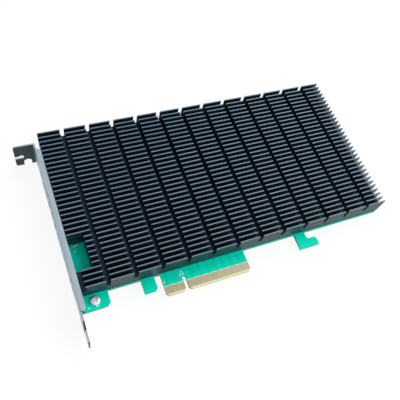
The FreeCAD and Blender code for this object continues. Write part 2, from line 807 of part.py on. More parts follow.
def build_drive(index):
    """One drive: its board with contact tongue and end notch, and its chips."""
    body = new_body(f"drive_board_{index + 1}")
    middle = drive_middle(index)
    half = size("drive_width") / 2
    tongue = half - size("drive_tongue_inset")
    shoulder = drive_start + size("drive_tongue_length")
    outline = sketch_on(body, "XY_Plane", size("drive_lift"))
    draw_outline(outline, [
        (drive_start, middle - tongue), (shoulder, middle - tongue), (shoulder, middle - half),
        (drive_end, middle - half), (drive_end, middle + half), (shoulder, middle + half),
        (shoulder, middle + tongue), (drive_start, middle + tongue),
    ])
    pad(body, outline, size("drive_thickness"))
    notch = sketch_on(body, "XY_Plane", drive_top)
    draw_circle(notch, drive_end, middle, size("drive_notch"))
    pocket(body, notch, size("drive_thickness"))
    node(body)

    chips = new_body(f"drive_chips_{index + 1}")
    layout = sketch_on(chips, "XY_Plane", drive_top)
    # Controller, memory, then two flash chips: start along the drive, length, width
    shares = ((0.06, 0.145, 0.73), (0.24, 0.12, 0.4), (0.42, 0.16, 0.8), (0.64, 0.16, 0.8))
    for start, length, width in shares:
        left = shoulder + size("drive_length") * start
        half_chip = size("drive_width") * width / 2
        right = left + size("drive_length") * length
        draw_rectangle(layout, left, right, middle - half_chip, middle + half_chip)
    pad(chips, layout, size("drive_chip_height"))
    node(chips)

    margin = size("drive_clearance") * 2
    pad_left = shoulder + margin
    pad_right = drive_end - size("standoff_half") - size("drive_length") * 0.06
    thickness = size("cavity_height") - drive_chip_top
    return node(block(
        f"drive_pad_{index + 1}", pad_left, middle - half + margin, drive_chip_top,
        pad_right - pad_left, size("drive_width") - margin * 2, thickness))


# Parts in the chip bay -----------------------------------------------------------------------

def build_switch():
    """Ball-grid switch chip with its metal lid and thermal pad."""
    package, margin = size("switch_size"), size("switch_lid_margin")
    left, front = size("switch_x") - package / 2, switch_y - package / 2
    node(block("switch_package", left, front, ZERO, package, package, size("switch_package_height")))
    lid = new_body("switch_lid")
    half = package / 2 - margin
    outline = sketch_on(lid, "XY_Plane", size("switch_package_height"))
    x = size("switch_x")
    draw_clipped(outline, x - half, x + half, switch_y - half, switch_y + half, margin)
    pad(lid, outline, size("switch_lid_height"))
    lid_top = size("switch_package_height") + size("switch_lid_height")
    node(lid)
    pad_half = half - margin
    return node(block(
        "switch_pad", size("switch_x") - pad_half, switch_y - pad_half, lid_top,
        pad_half * 2, pad_half * 2, size("cavity_height") - lid_top))


def build_supply():
    """Three buck converters: an inductor, a power stage and two bulk capacitors each."""
    row_y = bay_back - size("inductor_size") * 1.5
    stage_y = row_y - size("stage_size") * 1.6
    bulk = block(
        "bulk_master", ZERO, ZERO, ZERO,
        size("bulk_width"), size("bulk_length"), size("bulk_height"))
    bulk_points = []
    for index in range(3):
        x = size("switch_x") - size("inductor_size") / 2 + size("inductor_pitch") * (index - 1)
        coil = new_body(f"power_inductor_{index + 1}")
        outline = sketch_on(coil, "XY_Plane")
        side = size("inductor_size")
        draw_clipped(outline, x, x + side, row_y, row_y + side, side * 0.12)
        pad(coil, outline, size("inductor_height"))
        node(coil)
        node(block(f"power_stage_{index + 1}", x + size("stage_size") * 0.2, stage_y, ZERO,
                   size("stage_size"), size("stage_size"), size("stage_height")))
        for side in (0, 1):
            bulk_x = x + size("bulk_width") * 1.3 * side - size("bulk_width") * 0.15
            bulk_points.append((bulk_x, bay_front + size("bulk_length") * 0.4, ZERO))
    node(group("bulk_capacitors", bulk, bulk_points))


def build_small_parts():
    """Clock and start-up parts, and the ceramic capacitors on both faces."""
    side = size("switch_x") + size("switch_size") / 2 + size("stage_size") * 0.35
    node(block("clock_buffer", side, switch_y + size("stage_size"), ZERO,
               size("stage_size"), size("stage_size"), size("stage_height")))
    node(block("settings_memory", side, switch_y - size("stage_size") * 2, ZERO,
               size("stage_size") * 0.8, size("stage_size"), size("stage_height") * 1.7))
    node(block("crystal", side, switch_y - size("stage_size") / 4, ZERO,
               size("stage_size") * 0.64, size("stage_size") * 0.5, size("stage_height")))
    chip = block("capacitor_master", ZERO, ZERO, ZERO,
                 size("capacitor_width"), size("capacitor_length"), size("capacitor_height"))
    pitch = size("capacitor_pitch")
    row_y = switch_y - size("switch_size") / 2 - size("capacitor_length") * 3
    row = [(size("switch_x") + pitch * (index - 4), row_y, ZERO) for index in range(8)]
    node(group("coupling_capacitors", chip, row))
    back = [(size("switch_x") + pitch * 2 * (i - 1.5), switch_y + pitch * 2 * (j - 0.5),
             solder_face - size("capacitor_height")) for i in range(4) for j in range(2)]
    return node(group("rear_capacitors", chip, back))


def check_document():
    """Stops if any object failed or any piece is empty or invalid."""
    doc.recompute()
    for thing in doc.Objects:
        if "Invalid" in thing.State or "Error" in thing.State:
            raise RuntimeError(f"{thing.Label} failed: {thing.State}")
    for piece in nodes:
        if piece.Shape.isNull() or not piece.Shape.isValid() or not piece.Shape.Solids:
            raise RuntimeError(f"{piece.Label} has no valid solid")


def export_nodes():
    os.makedirs("parts", exist_ok=True)
    for piece in nodes:
        piece.Shape.exportStep(f"parts/{piece.Label}.step")


build_board()
build_all_contacts()
build_sink()
build_bracket()
build_ear_screws()
build_sink_screws()
build_drive_fasteners()
for drive in range(SIZES["drive_count"]):
    build_socket(drive)
    build_drive(drive)
build_switch()
build_supply()
build_small_parts()
check_document()
export_nodes()
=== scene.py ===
"""Looks of the NVMe adapter card: materials, printed marks, traces, camera and light.

Lengths are in metres in the card's own frame: +X away from the bracket, +Y from the contacts
to the top edge, +Z out of the component face. Places come from the CAD nodes' boxes.
"""
import math

import bmesh
import bpy
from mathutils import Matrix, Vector


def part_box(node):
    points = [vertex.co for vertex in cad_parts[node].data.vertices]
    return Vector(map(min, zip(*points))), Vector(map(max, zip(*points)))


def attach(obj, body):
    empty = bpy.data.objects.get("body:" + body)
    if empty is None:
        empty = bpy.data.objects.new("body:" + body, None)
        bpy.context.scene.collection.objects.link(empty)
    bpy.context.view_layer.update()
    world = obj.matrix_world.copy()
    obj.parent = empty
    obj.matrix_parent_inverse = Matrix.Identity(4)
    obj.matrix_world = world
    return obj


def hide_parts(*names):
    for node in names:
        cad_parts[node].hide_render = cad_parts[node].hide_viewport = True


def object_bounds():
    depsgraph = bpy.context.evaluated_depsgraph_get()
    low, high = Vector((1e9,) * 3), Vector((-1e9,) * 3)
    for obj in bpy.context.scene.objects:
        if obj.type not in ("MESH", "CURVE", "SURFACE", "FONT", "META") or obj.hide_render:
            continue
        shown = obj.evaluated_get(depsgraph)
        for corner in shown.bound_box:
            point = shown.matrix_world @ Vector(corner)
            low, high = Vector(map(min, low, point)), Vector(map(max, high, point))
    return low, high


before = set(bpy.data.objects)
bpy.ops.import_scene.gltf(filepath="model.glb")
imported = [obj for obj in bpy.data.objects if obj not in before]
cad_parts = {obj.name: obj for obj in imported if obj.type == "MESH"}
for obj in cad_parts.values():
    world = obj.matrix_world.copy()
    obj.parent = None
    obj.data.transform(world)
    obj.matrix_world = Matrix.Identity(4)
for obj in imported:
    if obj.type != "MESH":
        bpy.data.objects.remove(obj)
cad_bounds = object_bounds()

MM = 0.001

# Camera: place and turn come from a fit of the card's standard sizes to the photograph
CAMERA_PLACE = (-0.07089, -0.07156, 0.26150)
CAMERA_TURN = (28.3596, -11.4151, -21.6517)   # degrees about X, Y, Z
CAMERA_LENS = 44.412                          # millimetres, as is the sensor's width
CAMERA_SENSOR = 36.0
CAMERA_SHIFT = (-0.03022, 0.02850)

# Light: an even sky, a back lamp that the fins' flat tops mirror softly, and a front lamp
LAMP_TARGET = (0.040, 0.050, 0.0)
BACK_LAMP = {"direction": (0.56, 0.40, 0.72), "distance": 1.2, "power": 6.6, "width": 0.7}
FRONT_LAMP = {"direction": (0.58, -0.55, 0.60), "distance": 1.2, "power": 8.4, "width": 0.8}
LAMP_COLOR = (0.94, 0.97, 1.0)
WORLD_COLOR = (0.985, 0.992, 1.0)
WORLD_STRENGTH = 0.68
FLOOR_WHITE_SHARE = 0.88      # near the card, where the rest of the floor shows its shadow
FLOOR_SHADOW_REACH = 0.3      # metres from the origin, and all white at three times that
FLOOR_HALF = 6.0
FLOOR_GAP = 0.2 * MM          # below the card's lowest point

# Places on the board that every marking follows
board_low, board_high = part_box("circuit_board")
gold_low, gold_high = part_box("contacts_component_side")
sink_low, sink_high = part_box("heatsink")
switch_low, switch_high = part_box("switch_package")
COMPONENT_FACE = 0.0
SOLDER_FACE = board_low.z
MASK_EDGE = gold_high.y + 0.05 * MM     # solder mask begins above the contacts
CONTACT_PITCH = 1.0 * MM
CONTACT_WIDTH = 0.6 * MM
CONTACT_NECK = 0.5 * MM                 # each contact's neck shows this far above the mask's edge
FLANGE_DEPTH = 11.43 * MM
bracket_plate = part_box("bracket")[0].x + FLANGE_DEPTH     # the bracket plate's outer face
TONGUE_SHADE_BAND = (-6.8 * MM, -2.9 * MM)                     # a band of the tongue painted dark as shade
TONGUE_TIP = -13.0 * MM                                   # the tongue is painted dark as shade below this too


# Node material helpers ------------------------------------------------------------------------

class Shader:
    """A material's node tree, with short ways to add and link nodes."""

    def __init__(self, name, color, roughness, metallic=0.0, specular=0.5):
        self.material = bpy.data.materials.new(name)
        self.material.use_nodes = True
        self.tree = self.material.node_tree
        self.surface = self.tree.nodes["Principled BSDF"]
        self.surface.inputs["Base Color"].default_value = (*color, 1.0)
        self.surface.inputs["Roughness"].default_value = roughness
        self.surface.inputs["Metallic"].default_value = metallic
        self.surface.inputs["Specular IOR Level"].default_value = specular
        self.place = self.tree.nodes.new("ShaderNodeTexCoord").outputs["Object"]

    def node(self, kind, **values):
        made = self.tree.nodes.new(kind)
        for name, value in values.items():
            setattr(made, name, value)
        return made

    def link(self, source, target):
        self.tree.links.new(source, target)

    def mapped(self, scale):
        """Object coordinates scaled by three numbers, to stretch a texture."""
        mapping = self.node("ShaderNodeMapping")
        mapping.inputs["Scale"].default_value = scale
        self.link(self.place, mapping.inputs["Vector"])
        return mapping.outputs["Vector"]

    def noise(self, scale, detail=3.0, stretch=(1, 1, 1)):
        texture = self.node("ShaderNodeTexNoise")
        texture.inputs["Scale"].default_value = scale
        texture.inputs["Detail"].default_value = detail
        self.link(self.mapped(stretch), texture.inputs["Vector"])
        return texture.outputs["Fac"]

    def ramp(self, factor, stops):
        """Colours by factor; each stop is (place, colour)."""
        ramp = self.node("ShaderNodeValToRGB")
        elements = ramp.color_ramp.elements
        while len(elements) < len(stops):
            elements.new(0.5)
        for element, (place, color) in zip(elements, stops):
            element.position = place
            element.color = (*color, 1.0)
        self.link(factor, ramp.inputs["Fac"])
        return ramp.outputs["Color"]

    def range(self, factor, low, high, start=0.0, end=1.0):
        """Factor from start..end mapped to low..high."""
        mapped = self.node("ShaderNodeMapRange")
        for name, value in (("From Min", start), ("From Max", end), ("To Min", low), ("To Max", high)):
            mapped.inputs[name].default_value = value
        self.link(factor, mapped.inputs["Value"])
        return mapped.outputs["Result"]

    def math(self, operation, a, b=None):
        made = self.node("ShaderNodeMath", operation=operation)
        for socket, value in zip(made.inputs, (a, b)):
            if value is None:
                continue
            if isinstance(value, (int, float)):
                socket.default_value = value
            else:
                self.link(value, socket)
        return made.outputs["Value"]

    def mix(self, factor, a, b):
        """Blend of two colours; each is an output or three numbers."""
        made = self.node("ShaderNodeMix", data_type="RGBA")
        for name, value in (("A", a), ("B", b)):
            socket = [s for s in made.inputs if s.name == name and s.type == "RGBA"][0]
            if isinstance(value, tuple):
                socket.default_value = (*value, 1.0)
            else:
                self.link(value, socket)
        self.link(factor, made.inputs["Factor"])
        return [s for s in made.outputs if s.type == "RGBA"][0]

    def axis(self, name):
        """One object coordinate, in metres."""
        split = self.node("ShaderNodeSeparateXYZ")
        self.link(self.place, split.inputs["Vector"])
        return split.outputs[name]

    def facing(self, name):
        """How far the real surface faces along an axis, from -1 to 1."""
        geometry = self.node("ShaderNodeNewGeometry")
        split = self.node("ShaderNodeSeparateXYZ")
        self.link(geometry.outputs["True Normal"], split.inputs["Vector"])
        return split.outputs[name]

    def bump(self, height, distance, strength):
        made = self.node("ShaderNodeBump")
        made.inputs["Distance"].default_value = distance
        made.inputs["Strength"].default_value = strength
        self.link(height, made.inputs["Height"])
        self.link(made.outputs["Normal"], self.surface.inputs["Normal"])

    def edges(self, radius):
        """1 near an edge, 0 away from it."""
        bevel = self.node("ShaderNodeBevel", samples=6)
        bevel.inputs["Radius"].default_value = radius
        geometry = self.node("ShaderNodeNewGeometry")
        dot = self.node("ShaderNodeVectorMath", operation="DOT_PRODUCT")
        self.link(bevel.outputs["Normal"], dot.inputs[0])
        self.link(geometry.outputs["True Normal"], dot.inputs[1])
        return self.range(dot.outputs["Value"], 1.0, 0.0, 0.72, 0.985)

    def set(self, name, source):
        self.link(source, self.surface.inputs[name])


dressed = set()


def dress(material, *nodes):
    """Gives CAD nodes a new material."""
    for name in nodes:
        dressed.add(name)
        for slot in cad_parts[name].material_slots:
            slot.material = material


def numbered(name, count):
    """Names of a row of numbered nodes."""
    return [f"{name}_{index + 1}" for index in range(count)]


# Materials --------------------------------------------------------------------------------------

def black_anodised():
    """Black anodised aluminium: a painted sheen makes the milled tops of the fins lighter, a painted
    teal reflection of the board tints the duller front face, and painted highlights slightly lighten
    the edges."""
    shader = Shader("black_anodised", (0.01, 0.012, 0.015), 0.4, specular=0.33)
    shader.surface.inputs["Specular Tint"].default_value = (0.62, 0.86, 1.0, 1.0)
    cloud = shader.noise(900.0, 4.0)
    streaks = shader.noise(300.0, 2.0, stretch=(0.05, 1.0, 1.0))
    sides = shader.ramp(cloud, [(0.3, (0.0035, 0.0110, 0.0240)), (0.7, (0.0065, 0.0180, 0.0360))])
    # painted reflection: the front face is tinted teal for the green board it mirrors
    painted_board_reflection = shader.ramp(cloud, [(0.3, (0.006, 0.026, 0.031)), (0.7, (0.011, 0.037, 0.044))])
    # painted sheen: the fins' flat tops get a lighter colour than the sides
    tops = shader.ramp(streaks, [(0.3, (0.110, 0.142, 0.168)), (0.7, (0.145, 0.184, 0.215))])
    upward = shader.math("GREATER_THAN", shader.facing("Z"), 0.9)
    high = shader.math("GREATER_THAN", shader.axis("Z"), sink_high.z - 0.1 * MM)
    top_face = shader.math("MULTIPLY", upward, high)
    forward = shader.math("LESS_THAN", shader.facing("Y"), -0.9)
    foremost = shader.math("LESS_THAN", shader.axis("Y"), sink_low.y + 0.1 * MM)
    front = shader.math("MULTIPLY", forward, foremost)
    color = shader.mix(top_face, shader.mix(front, sides, painted_board_reflection), tops)
    # painted highlight: lighter colour near every edge
    painted_edge_highlight = shader.math("MULTIPLY", shader.edges(0.05 * MM), 0.4)
    surface_color = shader.mix(painted_edge_highlight, color, (0.11, 0.145, 0.17))
    shader.set("Base Color", surface_color)
    satin = shader.range(streaks, 0.24, 0.38, 0.3, 0.7)
    shader.set("Roughness", shader.math("ADD", satin, shader.range(front, 0.0, 0.14)))
    shader.bump(cloud, 0.02 * MM, 0.4)
    return shader.material


def circuit_board():
    """Green solder mask on both faces, bare laminate between the contacts and round the contact edge,
    with painted shade making its upright faces darker brown, and the contacts' pale necks just above
    them."""
    shader = Shader("circuit_board", (0.002, 0.6, 0.41), 0.34, specular=0.04)
    cloud = shader.noise(160.0, 3.0)
    fine = shader.noise(1500.0, 2.0)
    mask = shader.ramp(cloud, [(0.3, (0.0005, 0.61, 0.425)), (0.7, (0.001, 0.70, 0.490))])
    weave = shader.ramp(fine, [(0.3, (0.36, 0.34, 0.20)), (0.7, (0.48, 0.46, 0.28))])
    bevel = shader.ramp(fine, [(0.3, (0.60, 0.56, 0.30)), (0.7, (0.72, 0.68, 0.40))])
    neck = shader.ramp(fine, [(0.3, (0.78, 0.76, 0.46)), (0.7, (0.88, 0.86, 0.56))])
    # painted shade: the bare edge's upright faces are laminate painted darker brown
    laminate_and_edge_shade = shader.ramp(fine, [(0.3, (0.16, 0.12, 0.06)), (0.7, (0.26, 0.21, 0.11))])
    side = shader.ramp(fine, [(0.3, (0.03, 0.28, 0.18)), (0.7, (0.08, 0.40, 0.27))])
    x, y = shader.axis("X"), shader.axis("Y")
    in_edge = shader.math("MULTIPLY", shader.math("GREATER_THAN", x, gold_low.x - 1.5 * MM),
                          shader.math("LESS_THAN", x, gold_high.x + 1.5 * MM))
    along = shader.math("MODULO", shader.math("SUBTRACT", x, gold_low.x), CONTACT_PITCH)
    in_line = shader.math("LESS_THAN", along, CONTACT_WIDTH)
    opening = shader.range(in_line, MASK_EDGE, MASK_EDGE + CONTACT_NECK)
    bare = shader.math("MULTIPLY", in_edge, shader.math("LESS_THAN", y, opening))
    above_gold = shader.math("GREATER_THAN", y, gold_high.y)
    upright = shader.math("ABSOLUTE", shader.facing("Z"))
    flat = shader.math("GREATER_THAN", upright, 0.98)
    sloped = shader.math("GREATER_THAN", upright, 0.3)
    faces = shader.mix(bare, mask, shader.mix(above_gold, weave, neck))
    walls = shader.mix(bare, side, shader.mix(sloped, laminate_and_edge_shade, bevel))
    shader.set("Base Color", shader.mix(flat, walls, faces))
    shader.set("Roughness", shader.range(cloud, 0.28, 0.40, 0.3, 0.7))
    shader.bump(fine, 0.006 * MM, 0.5)
    return shader.material


def gold():
    """Hard gold plate, slightly scuffed along the way the card slides in."""
    shader = Shader("gold", (0.6, 0.5, 0.3), 0.42, metallic=0.7)
    scuffs = shader.noise(1200.0, 3.0, stretch=(1.0, 0.15, 1.0))
    surface_color = shader.ramp(scuffs, [(0.3, (0.29, 0.245, 0.160)), (0.7, (0.38, 0.325, 0.220))])
    shader.set("Base Color", surface_color)
    shader.set("Roughness", shader.range(scuffs, 0.36, 0.52, 0.3, 0.7))
    return shader.material


def plated_steel():
    """Nickel-plated sheet steel with a fine rolled grain, painted dark as shade on the flange's inner
    face, on a band of the tongue and at the tongue's tip, with painted highlights lightening the rims."""
    shader = Shader("plated_steel", (0.5, 0.52, 0.53), 0.34, metallic=1.0)
    grain = shader.noise(900.0, 3.0, stretch=(1.0, 0.05, 1.0))
    patches = shader.noise(90.0, 3.0)
    bright = shader.ramp(grain, [(0.3, (0.285, 0.360, 0.405)), (0.7, (0.360, 0.440, 0.490))])
    # painted shade: the dark colour of the parts chosen below
    painted_shade = shader.ramp(grain, [(0.3, (0.026, 0.040, 0.044)), (0.7, (0.040, 0.056, 0.061))])
    # painted shade and dark reflection: the flange's inner face, which faces -Y, is painted dark
    inner = shader.math("MULTIPLY", shader.math("LESS_THAN", shader.facing("Y"), -0.9),
                        shader.math("LESS_THAN", shader.axis("X"), bracket_plate - 0.2 * MM))
    y = shader.axis("Y")
    # painted shade: a band of the tongue and its tip, where sloped and end faces look dark, are painted
    # dark
    tongue_band_shade = shader.math("MULTIPLY", shader.math("GREATER_THAN", y, TONGUE_SHADE_BAND[0]),
                        shader.math("LESS_THAN", y, TONGUE_SHADE_BAND[1]))
    tip = shader.math("LESS_THAN", y, TONGUE_TIP)
    painted_shade_parts = shader.math("MAXIMUM", inner, shader.math("MAXIMUM", tongue_band_shade, tip))
    color = shader.mix(painted_shade_parts, bright, painted_shade)
    # painted highlight: lighter rims, most of all round the parts painted dark
    edge = shader.math("MULTIPLY", shader.edges(0.18 * MM), shader.range(painted_shade_parts, 0.6, 0.25))
    shader.set("Base Color", shader.mix(edge, color, (0.36, 0.42, 0.45)))
    shader.set("Roughness", shader.range(patches, 0.28, 0.42, 0.3, 0.7))
    shader.bump(grain, 0.004 * MM, 0.4)
    return shader.material


def brushed(name, color, roughness, stretch=(1.0, 0.05, 1.0)):
    """Bare or plated metal with a fine grain along one direction."""
    shader = Shader(name, color, roughness, metallic=1.0)
    grain = shader.noise(1600.0, 3.0, stretch=stretch)
    dark = tuple(c * 0.85 for c in color)
    light = tuple(min(1.0, c * 1.08) for c in color)
    shader.set("Base Color", shader.ramp(grain, [(0.3, dark), (0.7, light)]))
    shader.set("Roughness", shader.range(grain, roughness * 0.75, roughness * 1.3, 0.3, 0.7))
    shader.bump(grain, 0.003 * MM, 0.4)
    return shader.material


def speckled(name, color, roughness, scale=1200.0, bump=0.01 * MM, specular=0.5):
    """A plain moulded, pressed or printed finish with a fine speckle and relief."""
    shader = Shader(name, color, roughness, specular=specular)
    cloud = shader.noise(scale, 3.0)
    dark = tuple(c * 0.82 for c in color)
    light = tuple(min(1.0, c * 1.15) for c in color)
    shader.set("Base Color", shader.ramp(cloud, [(0.3, dark), (0.7, light)]))
    shader.set("Roughness", shader.range(cloud, roughness * 0.85, min(1.0, roughness * 1.15), 0.3, 0.7))
    shader.bump(cloud, bump, 0.5)
    return shader.material


def capacitor(name, node, length, pitch):
    """Ceramic or tantalum bodies with tinned ends, whose rows repeat along Y at a pitch."""
    shader = Shader(name, (0.4, 0.3, 0.2), 0.45)
    cloud = shader.noise(2500.0, 3.0)
    body = shader.ramp(cloud, [(0.3, (0.30, 0.21, 0.13)), (0.7, (0.42, 0.31, 0.20))])
    tin = shader.ramp(cloud, [(0.3, (0.55, 0.55, 0.56)), (0.7, (0.68, 0.68, 0.69))])
    from_low = shader.math("SUBTRACT", shader.axis("Y"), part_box(node)[0].y)
    along = shader.math("MODULO", shader.math("ADD", from_low, 0.001 * MM), pitch)
    from_middle = shader.math("ABSOLUTE", shader.math("SUBTRACT", along, length / 2))
    end = shader.math("GREATER_THAN", from_middle, length * 0.27)
    shader.set("Base Color", shader.mix(end, body, tin))
    shader.set("Metallic", shader.range(end, 0.0, 0.8))
    shader.bump(cloud, 0.006 * MM, 0.5)
    return shader.material


def drive_mask():
    """Dark blue solder mask with fine traces along the drive."""
    shader = Shader("drive_mask", (0.01, 0.03, 0.07), 0.35)
    cloud = shader.noise(700.0, 3.0)
    base = shader.ramp(cloud, [(0.3, (0.006, 0.018, 0.045)), (0.7, (0.012, 0.032, 0.075))])
    along = shader.noise(1100.0, 1.0, stretch=(0.03, 1.0, 1.0))
    trace = shader.math("GREATER_THAN", along, 0.56)
    shader.set("Base Color", shader.mix(trace, base, (0.02, 0.06, 0.12)))
    shader.bump(along, 0.01 * MM, 0.6)
    return shader.material


# Mesh helpers -----------------------------------------------------------------------------------

def piece(name, mesh, material):
    """A new visible piece that rides with the card."""
    made = bpy.data.objects.new(name, mesh)
    bpy.context.collection.objects.link(made)
    mesh.materials.append(material)
    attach(made, "root")


def prism(work, outline, low, high):
    """Adds an upright solid with this outline, counterclockwise, between two heights."""
    bottom = [work.verts.new((x, y, low)) for x, y in outline]
    top = [work.verts.new((x, y, high)) for x, y in outline]
    work.faces.new(list(reversed(bottom)))
    work.faces.new(top)
    for index in range(len(outline)):
        following = (index + 1) % len(outline)
        work.faces.new((bottom[index], bottom[following], top[following], top[index]))


def strip(a, b, width):
    """Outline of a straight bar from a to b."""
    along = (Vector(b) - Vector(a)).normalized()
    side = Vector((-along.y, along.x)) * width / 2
    corners = [Vector(a) - side, Vector(b) - side, Vector(b) + side, Vector(a) + side]
    return [(corner.x, corner.y) for corner in corners]


def disc(centre, radius, count=24):
    """Outline of a round spot."""
    steps = [2 * math.pi * index / count for index in range(count)]
    return [(centre[0] + radius * math.cos(s), centre[1] + radius * math.sin(s)) for s in steps]


def finish_mesh(work, name):
    """The working mesh as a mesh of its own."""
    mesh = bpy.data.meshes.new(name)
    work.to_mesh(mesh)
    work.free()
    return mesh


# Printed marks, traces and plated rings -----------------------------------------------------------

INK = 0.03 * MM                         # height of the printed ink above the board
COPPER = 0.03 * MM                      # height of a trace under the mask
PLATING = 0.035 * MM                    # height of a plated ring
DASH_WIDTH = 0.4 * MM
OUTLINE_WIDTH = 0.2 * MM                # of the lines printed on the solder face
TRACE_WIDTH = 0.24 * MM
PAIR_SHIFT = 0.18 * MM                  # how far each trace of a pair moves towards the other
LANE_PITCH = 0.75 * MM                  # between the traces of a drive
KEY_HALF = 1.3 * MM                     # no trace starts this near to the key at X = 0
SWITCH_VIA = (0.15 * MM, 0.36 * MM)     # a ring's inner and outer radius, as below
SOCKET_VIA = (0.14 * MM, 0.30 * MM)
SOCKET_PEG = (0.50 * MM, 0.85 * MM)
STANDOFF_PAD = (1.1 * MM, 2.4 * MM)
TOP_EDGE_VIA = (0.3 * MM, 0.6 * MM)
SWITCH_VIA_PITCH = 2.0 * MM
SOCKET_VIA_PITCH = 1.4 * MM
TOP_EDGE_VIA_PITCH = 10 * MM
VIA_ROOM = 0.8 * MM                     # between the rings and the capacitors under the switch


def build_marks(material):
    """Plain printed marks on the component face: a triangle at the key, dots and dashes."""
    work = bmesh.new()
    heights = (COMPONENT_FACE, COMPONENT_FACE + INK)
    left = board_low.x

    triangle_x, half = -0.8 * MM, 1.25 * MM
    low, high = MASK_EDGE + 4.1 * MM, MASK_EDGE + 6.6 * MM
    corners = [(triangle_x - half, low), (triangle_x + half, low), (triangle_x, high)]
    for index in range(3):
        prism(work, strip(corners[index], corners[(index + 1) % 3], 0.22 * MM), *heights)
    first_contact = (gold_low.x + 0.2 * MM, MASK_EDGE + 2.7 * MM)
    prism(work, disc(first_contact, 0.40 * MM), *heights)

    tab_y = gold_high.y + 0.9 * MM
    for start, length in ((3.4 * MM, 1.3 * MM), (7.9 * MM, 1.4 * MM)):
        x = left + start
        dash = strip((x, tab_y), (x + length, tab_y + 0.35 * MM), DASH_WIDTH)
        prism(work, dash, *heights)

    window_y = sink_low.y + 29.4 * MM
    start, end = left + 5.1 * MM, left + 8.0 * MM
    dash = strip((start, window_y), (end, window_y + 0.5 * MM), DASH_WIDTH * 1.5)
    prism(work, dash, *heights)
    prism(work, disc((left + 5.2 * MM, window_y - 2.8 * MM), 0.38 * MM), *heights)
    piece("printed_marks", finish_mesh(work, "printed_marks"), material)


def frame_outline(work, low, high, width, *heights):
    """A rectangular line drawn as four bars."""
    corners = [(low[0], low[1]), (high[0], low[1]), (high[0], high[1]), (low[0], high[1])]
    for index in range(4):
        prism(work, strip(corners[index], corners[(index + 1) % 4], width), *heights)


def build_back_print(material):
    """Plain outlines on the solder face: the switch's footprint, its capacitors, the drives."""
    work = bmesh.new()
    heights = (SOLDER_FACE - INK, SOLDER_FACE)
    frame_outline(work, switch_low, switch_high, OUTLINE_WIDTH * 1.25, *heights)
    low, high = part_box("rear_capacitors")
    margin = Vector((1, 1, 0)) * MM
    frame_outline(work, low - margin, high + margin, OUTLINE_WIDTH, *heights)
    for index in range(1, 5):
        low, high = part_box(f"drive_socket_{index}")
        frame_outline(work, low, high, OUTLINE_WIDTH, *heights)
        drive_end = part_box(f"drive_board_{index}")[1].x
        start, end = drive_end - 8.0 * MM, drive_end - 4.0 * MM
        middle = (low.y + high.y) / 2
        for y in (middle - 5.0 * MM, middle + 5.0 * MM):
            prism(work, strip((start, y), (end, y), OUTLINE_WIDTH), *heights)
    piece("back_print", finish_mesh(work, "back_print"), material)


def ring(work, centre, radii, low, high, count):
    """Adds an upright ring between two radii and two heights."""
    inner, outer = radii
    loops = [[work.verts.new((x, y, z)) for x, y in disc(centre, radius, count)]
             for radius, z in ((inner, low), (outer, low), (outer, high), (inner, high))]
    for index in range(count):
        following = (index + 1) % count
        for first, second in zip(loops, loops[1:] + loops[:1]):
            work.faces.new((first[index], first[following], second[following], second[index]))


def build_switch_vias(work, low, high):
    """A square grid of rings under the switch, except where its capacitors stand."""
    caps_low, caps_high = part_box("rear_capacitors")
    middle = (switch_low + switch_high) / 2
    count = round((switch_high.x - switch_low.x) / SWITCH_VIA_PITCH) - 1
    for i in range(count):
        for j in range(count):
            x = middle.x + (i - (count - 1) / 2) * SWITCH_VIA_PITCH
            y = middle.y + (j - (count - 1) / 2) * SWITCH_VIA_PITCH
            near_x = caps_low.x - VIA_ROOM < x < caps_high.x + VIA_ROOM
            near_y = caps_low.y - VIA_ROOM < y < caps_high.y + VIA_ROOM
            if near_x and near_y:
                continue
            ring(work, (x, y), SWITCH_VIA, low, high, 10)


def build_drive_vias(work, low, high):
    """Rings round each drive's standoff and its socket's pegs, and a row beside the socket."""
    for index in range(1, 5):
        socket_low, socket_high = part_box(f"drive_socket_{index}")
        drive_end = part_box(f"drive_board_{index}")[1].x
        middle = (socket_low.y + socket_high.y) / 2
        ring(work, (drive_end, middle), STANDOFF_PAD, low - 0.1 * MM, high, 28)
        for y in (socket_low.y + 1.3 * MM, socket_high.y - 1.3 * MM):
            ring(work, (socket_low.x + 2.0 * MM, y), SOCKET_PEG, low, high, 20)
        for step in range(12):
            y = middle + (step - 5.5) * SOCKET_VIA_PITCH
            ring(work, (socket_low.x - 1.6 * MM, y), SOCKET_VIA, low, high, 10)


def build_vias(material):
    """Plated rings on the solder face: under the switch, at the drives and along the top edge."""
    work = bmesh.new()
    low, high = SOLDER_FACE - PLATING, SOLDER_FACE
    build_switch_vias(work, low, high)
    build_drive_vias(work, low, high)
    for step in range(17):
        x = board_low.x + 24 * MM + step * TOP_EDGE_VIA_PITCH
        ring(work, (x, board_high.y - 2.0 * MM), TOP_EDGE_VIA, low, high, 14)
    piece("plated_vias", finish_mesh(work, "plated_vias"), material)


def draw_path(work, path, *heights):
    """Straight bars of copper from point to point."""
    for a, b in zip(path, path[1:]):
        prism(work, strip(a, b, TRACE_WIDTH), *heights)


def pair_shift(index):
    """How far a trace moves towards its partner: odd ones one way, even ones the other."""
    return PAIR_SHIFT if index % 2 else -PAIR_SHIFT


def build_contact_traces(work, front, back):
    """Short traces up from the contacts, which draw together in pairs; fewer show in front."""
    count = round((gold_high.x - gold_low.x) / CONTACT_PITCH)
    low = MASK_EDGE + 0.2 * MM
    top = sink_low.y + 1.0 * MM
    for index in range(count):
        x = gold_low.x + 0.35 * MM + CONTACT_PITCH * index
        if abs(x) < KEY_HALF:
            continue
        paired = x + pair_shift(index)
        bend = low + (1.2 + 0.9 * (index % 3)) * MM
        path = [(x, low), (x, bend), (paired, bend + 0.5 * MM), (paired, top)]
        if index % 5 in (1, 2):
            draw_path(work, path, *front)
        draw_path(work, path, *back)


